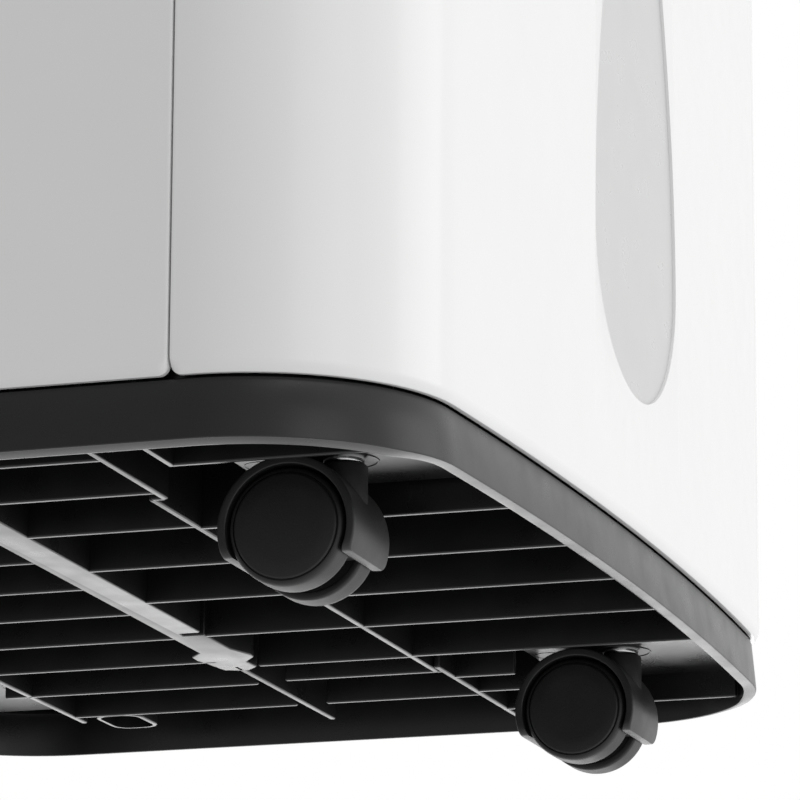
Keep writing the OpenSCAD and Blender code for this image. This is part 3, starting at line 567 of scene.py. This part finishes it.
def drop_outline(grow=0.0):
    """The level window's outline: a round foot that tapers to a point."""
    centre, radius, taper, steps = 105.6, 36.6 + grow, 173.0 + 3 * grow, 40
    rise = []
    for share in (i / steps for i in range(1, steps)):
        rise.append((radius * math.cos(math.pi / 2 * share) ** 1.5, centre + taper * share))
    foot = quarter(0, centre, radius, 180, 360, 48)
    return foot + rise + [(0.0, centre + taper)] + [(-x, z) for x, z in reversed(rise)]


def rear_hole(x, z, r, steps=64):
    """A cutter for a round hole through the rear wall."""
    cutter = revolve("hole", [(0, -20), (r, -20), (r, 20), (0, 20)], GREY, steps, axis="Y")
    return shift(cutter, x, 130, z)


def build_shell():
    """The body shell, with its openings for the grips, intake, drain, lead and screws."""
    shell = sweep("casing_shell", shell_path(), wall_profile(CASING_Z, COVER_Z), WHITE)
    holes = [rear_hole(DRAIN_X, DRAIN_Z, DRAIN_R), rear_hole(GLAND_X, GLAND_Z, GLAND_R)]
    holes.append(block("intake", (-INTAKE_X, 105, INTAKE_Z[0]), (INTAKE_X, 180, INTAKE_Z[1]), 0.1, GREY))
    for side in (-BASE_W / 2, BASE_W / 2):
        low = (side - GRIP_DEPTH, GRIP_Y[0], GRIP_Z[0])
        high = (side + GRIP_DEPTH, GRIP_Y[1], GRIP_Z[1])
        holes.append(block("grip", low, high, 0.1, GREY))
    for x in (-SCREW_X, SCREW_X):
        holes += [rear_hole(x, z, SCREW_R, 32) for z in SCREW_HEIGHTS]
    cut(shell, *holes)
    place(shell, "cabinet", "casing_white", "body_shell")


def build_fronts():
    """The fixed upper front, and the tank's front with its drop-shaped window."""
    section = wall_profile(SPLIT_Z + SEAM_GAP, COVER_Z, lip=0.9, draw=0.7)
    upper = sweep("casing_front", front_path(), section, WHITE, foot=1.2)
    place(upper, "cabinet", "casing_white", "front_panel")

    lower = sweep("tank_fascia", front_path(), wall_profile(CASING_Z, SPLIT_Z, top=0.9), WHITE)
    outline = drop_outline()
    cut(lower, stack("drop_cut", [[(x, y, z) for x, z in outline] for y in (-140, -110)], WHITE))
    soften(lower, 0.35)
    place(lower, "tank", "casing_white", "tank_front")

    window_front = -BASE_D / 2 - CASING + WINDOW_DEPTH
    rows = []
    for depth in (0.0, 2.0):
        rows.append([(x, window_front + depth + x * x / (2 * BOW_R), z) for x, z in drop_outline(0.05)])
    panel = stack("drop_panel", rows, WINDOW)
    place(panel, "tank", "window_grey", "level_window")


def build_top():
    """The domed cover, a solid cap with the outlet well and the panel's recess cut into it."""
    out, r, seat = -CASING, 12.0, 0.7
    levels = quarter(out + seat, COVER_Z + seat, seat, 270, 180, 4)
    levels += [(out, COVER_Z + 6), (out, COVER_Z + 20)]
    levels += quarter(out + r, TOP_Z - r, r, 180, 90, 12)
    cover = stack("top_shell", [outline_at(inset, z) for inset, z in levels], WHITE)
    above = TOP_Z + 15
    outlet = block("outlet", (-OUTLET_X, OUTLET_Y[0], OUTLET_Z), (OUTLET_X, OUTLET_Y[1], above), 3, WHITE)
    recess = block("recess", (-RECESS_X, RECESS_Y[0], RECESS_Z), (RECESS_X, RECESS_Y[1], above), 4, WHITE)
    cut(cover, outlet, recess)
    soften(cover, 0.5)
    place(cover, "cabinet", "casing_white", "top_cover")


build_shell()
build_fronts()
build_top()

# ---- Base ----------------------------------------------------------------------------------------

SIDE_LIP, FRONT_LIP, POCKET_IN = 3.8, 3.4, 6.6
# How far the rim is lower along the sides than along the front and back
EDGE_DROP, LIP_DROP = 0.6, 1.4
STEM_X, STEM_Y, TRAIL = 114.0, 95.5, 9.3
RIB_T, RIB_LOW, RIB_TOP = 1.7, RIM_Z + 0.4, FLOOR_Z + 0.8
BAR_Y = (-9.8, -0.2)
CROSS_Y, CORNER_CROSS_Y, SHORT_RIB_Y, REAR_RIB_Y = -51.3, -54.5, -67.3, 64.8
PAD_X, PAD_Y, MARK_Y = (91.0, 147.3), (71.5, 140.0), 76.5
# How far out the side ends of the bar and the cross ribs reach
INSIDE_X = BASE_W / 2 - SIDE_LIP + 1.2
# The ribs behind the bar stand at a pitch; those in front of it, one by one, as in the CAD
RIB_PITCH, LEFT_END, PAD_START = 31.6, -118, 86
LEFT_RIBS = (-157, -124.2)
FIELD_RIBS = (-89.4, -50.5, -12.3, 30.5, 71.2, 92.3, 126)
STRIP_RIBS = (-87.2, -45.7, -6.8, 30.7, 70.2)
PAD_RIBS = (100.7, 121.6)
BOSS_X, BOSS_Y = (126, 146), (45.95, 59.45)
# The wide bar's outline, notched along its front edge and with a fishtail end
BAR = (
    (25.5, -9.8), (25.5, -4), (28.5, -4), (28.5, -9.8), (48, -9.8), (56, -12.3), (59.5, -12), (65, -8),
    (72, -8.4), (75.8, -5), (75.5, -2), (74, 1.5), (64, 3), (60, 3.9), (55.8, 3.7), (51, -0.2),
)


def lip_at(nx):
    """Width of the rim's lip where the outline's normal has that X part."""
    return FRONT_LIP + (SIDE_LIP - FRONT_LIP) * nx**2


def build_band():
    """The dark band, drawn in at its head, with the rim's lip under it."""
    path = whole_path()
    edge = [(0.6, 0.0), (0.25, 0.08), (0.06, 0.28), (0.0, 0.6)]
    outer = [(0.5, RIM_Z + 6), (1.1, BAND_Z - 1.2)]
    outer += quarter(2.2, BAND_Z - 0.9, 0.9, 180, 90, 4) + [(POCKET_IN, BAND_Z), (POCKET_IN, STEP_Z)]
    inner = [(0.0, 0.4), (0.1, 0.1), (0.35, 0.0), (0.75, 0.0)]
    verts, faces = [], []
    for (x, y), (nx, ny) in path:
        side = min(1.0, 4 * nx**2)
        lip = lip_at(nx)
        column = [(inset, RIM_Z - EDGE_DROP * side + up) for inset, up in edge] + outer
        column += [(lip + 0.3, STEP_Z)]
        column += [(lip - back, RIM_Z - LIP_DROP * side + up) for back, up in inner]
        verts += [(x - nx * inset, y - ny * inset, z) for inset, z in column]
    m, count = len(column), len(path)
    for i in range(count):
        for j in range(m):
            a, b, k = i * m, (i + 1) % count * m, (j + 1) % m
            faces.append((a + j, a + k, b + k, b + j))
    band = make("base_band", verts, faces, BASE)
    place(band, "cabinet", "base_black", "base_pan")


def rib_y_end(x):
    """Where a rib along Y meets the front or rear lip."""
    if abs(x) > CORNER_X:
        return CORNER_Y + math.sqrt(max(0, (CORNER_R - 4) ** 2 - (abs(x) - CORNER_X) ** 2))
    return -BOW_Y + math.sqrt((BOW_R - FRONT_LIP + 0.6) ** 2 - x * x)


def rib(x0, x1, y0, y1):
    """A rib with a rounded lower edge."""
    return block("rib", (x0, y0, RIB_LOW), (x1, y1, RIB_TOP), 0.5, BASE, edge=0.45)


def along_y(x, y0, y1):
    """A rib along Y."""
    return rib(x - RIB_T / 2, x + RIB_T / 2, y0, y1)


def along_x(y, x0, x1):
    """A rib along X."""
    return rib(x0, x1, y - RIB_T / 2, y + RIB_T / 2)


def build_tray():
    """An upside-down tray: the walls above the rim's step, and the ceiling of the pocket."""
    inn, out = POCKET_IN, POCKET_IN - 2.2
    tray = [(inn, STEP_Z - 0.5), (inn, FLOOR_Z - 1), (inn + 0.3, FLOOR_Z - 0.3), (inn + 1, FLOOR_Z)]
    inside = [outline_at(inset, z) for inset, z in tray]
    outside = [outline_at(out, z) for z in (STEP_Z - 0.5, FLOOR_Z + 2.5)]
    place(stack("base_floor", inside[::-1] + outside, BASE), "cabinet", "base_black")


def build_ribs():
    """The ribs behind the bar, those in front of it, the cross ribs and an oval boss."""
    bar_front, bar_rear = BAR_Y[0] + 0.5, BAR_Y[1] - 0.5
    pad_front, pad_side, pad_edge = CROSS_Y - 2, PAD_X[1] + RIB_T / 2, -PAD_Y[0] + 1
    ribs = []
    for k in range(-5, 4):
        x = k * RIB_PITCH
        meets_pad = PAD_X[0] - 1 < abs(x) < PAD_X[1] + 1
        ribs.append(along_y(x, bar_rear, PAD_Y[0] + 0.4 if meets_pad else rib_y_end(x)))
    ribs.append(along_y(4 * RIB_PITCH, bar_rear, REAR_RIB_Y))
    ribs += [along_y(x, CORNER_CROSS_Y, bar_front) for x in LEFT_RIBS]
    ribs += [along_y(x, pad_front if x > PAD_START else CROSS_Y, bar_front) for x in FIELD_RIBS]
    ribs += [along_y(x, -rib_y_end(x), CROSS_Y) for x in STRIP_RIBS]
    ribs += [along_y(x, pad_edge, pad_front) for x in PAD_RIBS]
    ribs.append(along_y(LEFT_END, CORNER_CROSS_Y, CROSS_Y))
    ribs.append(along_y(-pad_side, -rib_y_end(pad_side), SHORT_RIB_Y))
    ribs.append(along_y(pad_side, -rib_y_end(pad_side), pad_front))
    ribs.append(along_x(CORNER_CROSS_Y, -INSIDE_X, LEFT_END))
    ribs.append(along_x(CROSS_Y, LEFT_END, PAD_START + 6))
    ribs.append(along_x(pad_front, PAD_START, INSIDE_X))
    ribs.append(along_x(SHORT_RIB_Y, -INSIDE_X, -PAD_X[1]))
    ribs.append(along_x(REAR_RIB_Y, -INSIDE_X, 135))
    ribs.append(along_x(BAR_Y[1] - 3, 70, PAD_X[1] + RIB_T))
    (x0, x1), (y0, y1), wall = BOSS_X, BOSS_Y, 1.2
    boss = block("boss", (x0, y0, RIB_LOW), (x1, y1, RIB_TOP), 5, BASE)
    low, high = (x0 + wall, y0 + wall, RIB_LOW - 2), (x1 - wall, y1 - wall, FLOOR_Z - 2)
    hollow = block("hollow", low, high, 5 - wall, BASE)
    ribs.append(cut(boss, hollow))
    place(join("base_ribs", ribs), "cabinet", "base_black")


def build_bar():
    """The wide flat bar across the underside."""
    outline = [(-INSIDE_X, BAR_Y[0]), *BAR, (-INSIDE_X, BAR_Y[1])]
    bar = stack("base_bar", [[(x, y, z) for x, y in outline] for z in (RIB_LOW, RIB_TOP)], BASE)
    soften(bar, 0.4)
    place(bar, "cabinet", "base_black")


def build_pads():
    """A flat pad at each caster, with a faint ring round its stem and a small round mark."""
    wide, deep = PAD_X[1] - PAD_X[0], PAD_Y[1] - PAD_Y[0]
    ring = [(7.6, PAD_Z + 0.2), (7.7, PAD_Z - 0.2), (8.1, PAD_Z - 0.2), (8.2, PAD_Z + 0.2)]
    mark = [(4.1, PAD_Z + 0.2), (4.15, PAD_Z - 0.1), (4.45, PAD_Z - 0.1), (4.5, PAD_Z + 0.2)]
    pads = []
    for sx, sy in CORNERS.values():
        loop = []
        for x, y in round_rect(wide, deep, 4, 8, sx * (PAD_X[0] + wide / 2), sy * (PAD_Y[0] + deep / 2)):
            limit = rib_y_end(x) - 1.6
            loop.append((x, max(-limit, min(limit, y))))
        pads.append(stack("pad", [[(x, y, z) for x, y in loop] for z in (PAD_Z, PAD_Z + 0.3, RIB_TOP)], BASE))
        pads.append(shift(revolve("pad_ring", ring, BASE), sx * STEM_X, sy * STEM_Y, 0))
        pads.append(shift(revolve("pad_mark", mark, BASE), sx * STEM_X, sy * MARK_Y, 0))
    place(join("caster_pads", pads), "cabinet", "base_black")


build_band()
build_tray()
build_ribs()
build_bar()
build_pads()

# ---- Casters -------------------------------------------------------------------------------------

WHEEL_R, WHEEL_W, WHEEL_GAP = 13.5, 9.0, 7.8
HOOD_IN, HOOD_OUT, HOOD_W, HOOD_LOW = 14.2, 16.2, 25.0, -6.3
WEB_R, WEB_LOW = 14.6, -5.5
NECK_R, NECK_TOP, NECK_FOOT_R = 5.5, 29.3, 15.2


def hood_band():
    """The band over the wheels, about the axle, with soft edges and round corners."""
    half, outer_r, inner_r, corner_r = HOOD_W / 2, 0.55, 0.3, 2.0
    section = quarter(half - outer_r, HOOD_OUT - outer_r, outer_r, 0, 90, 4)
    section += quarter(-half + outer_r, HOOD_OUT - outer_r, outer_r, 90, 180, 4)
    section += quarter(-half + inner_r, HOOD_IN + inner_r, inner_r, 180, 270, 4)
    section += quarter(half - inner_r, HOOD_IN + inner_r, inner_r, 270, 360, 4)
    ends = (0, 0.001, 0.003, 0.006, 0.011, 0.018, 0.028)
    spans = [*ends, *(0.045 + 0.91 * i / 60 for i in range(61)), *(1 - t for t in reversed(ends))]
    loops = []
    for t in spans:
        # Distance from the nearer end, taken a little long, which rounds the corners off
        near = min(t, 1 - t) * 68.7
        pull = 0.0 if near > corner_r else corner_r - math.sqrt(corner_r**2 - (corner_r - near) ** 2)
        loop = []
        for x, radius in section:
            start = math.asin(HOOD_LOW / radius)
            a = start + (math.pi - 2 * start) * t
            x = math.copysign(max(0.0, abs(x) - pull), x)
            loop.append((x, radius * math.cos(a), radius * math.sin(a)))
        loops.append(loop)
    return stack("hood_band", loops, CASTER, 40)


def hood_web():
    """The web between the wheels, which holds the axle."""
    start = math.degrees(math.asin(WEB_LOW / WEB_R))
    edge = quarter(0, 0, WEB_R, start, 180 - start, 40)
    slices = ((-2.3, 0.985), (-2.0, 1), (2.0, 1), (2.3, 0.985))
    return stack("web", [[(x, y * share, z * share) for y, z in edge] for x, share in slices], CASTER)


def hood_neck():
    """The neck that rises from the band to the stem, with its foot on the band."""
    head = NECK_TOP - WHEEL_R
    levels = [(NECK_R, None), (NECK_R, 12.0), (NECK_R, head - 0.6), (NECK_R - 0.2, head - 0.15)]
    levels.append((NECK_R - 0.6, head))
    loops = []
    for radius, top in levels:
        loop = []
        for a in (2 * math.pi * i / 48 for i in range(48)):
            x, y = radius * math.cos(a), -TRAIL + radius * math.sin(a)
            foot = max(math.sqrt(max(0.0, NECK_FOOT_R**2 - y * y)), 5.0)
            loop.append((x, y, foot if top is None else top))
        loops.append(loop)
    return stack("neck", loops, CASTER)


def build_hood(corner, cx, cy):
    """A caster's hood, one moulding of band, web and neck, and its steel stem."""
    hood = join(f"hood_{corner}", [hood_band(), hood_web(), hood_neck()])
    shift(hood, cx, cy, WHEEL_R)
    place(hood, f"caster_{corner}", "caster_black", f"caster_hood_{corner}")
    stem = revolve(f"stem_{corner}", [(0, 28), (3.9, 28), (3.9, 44.5), (3.4, 45), (0, 45)], STEEL, 32)
    shift(stem, cx, cy - TRAIL, 0)
    place(stem, f"caster_{corner}", "bright_steel")


def build_wheel(corner, side, cx, cy):
    """A round tread with a grooved, slightly domed cover on its outer face."""
    gap = WHEEL_GAP / 2
    face = gap + WHEEL_W
    profile = [
        (2.05, gap), (4.5, gap), (4.5, gap + 0.6), (11.6, gap + 0.6), (11.9, gap), (12.9, gap),
        (13.25, gap + 0.15), (13.45, gap + 0.5), (13.5, gap + 1.2), (13.5, face - 2.6), (13.42, face - 1.7),
        (13.15, face - 1.0), (12.75, face - 0.6), (12.4, face - 0.5), (12.2, face - 0.9),
        (12.05, face - 0.9), (11.97, face - 0.3), (11.8, face - 0.12), (11.5, face - 0.04),
        (8, face - 0.01), (0, face),
    ]
    wheel = revolve(f"tyre_{corner}_{side}", profile, WHEEL, 96, "X", 50)
    if side == "l":
        wheel.data.transform(Matrix.Scale(-1, 4, Vector((1, 0, 0))))
        wheel.data.flip_normals()
    shift(wheel, cx, cy, WHEEL_R)
    place(wheel, f"wheel_{corner}_{side}", "wheel_black", f"wheel_{corner}_{side}")


def socket_ring(cx, cy):
    """The bright end of a stem's socket, which stands out of its pad."""
    profile = [(4.05, 46), (4.05, PAD_Z - 0.7), (4.3, PAD_Z - 0.9), (4.6, PAD_Z - 0.8)]
    profile += [(4.75, PAD_Z - 0.4), (4.75, 46)]
    return shift(revolve("socket", profile, STEEL), cx, cy - TRAIL, 0)


sockets = []
for corner_name, (side_x, side_y) in CORNERS.items():
    wheel_x, wheel_y = side_x * STEM_X, side_y * STEM_Y + TRAIL
    build_hood(corner_name, wheel_x, wheel_y)
    build_wheel(corner_name, "l", wheel_x, wheel_y)
    build_wheel(corner_name, "r", wheel_x, wheel_y)
    sockets.append(socket_ring(wheel_x, wheel_y))
place(join("socket_rings", sockets), "cabinet", "bright_steel", "caster_sockets")
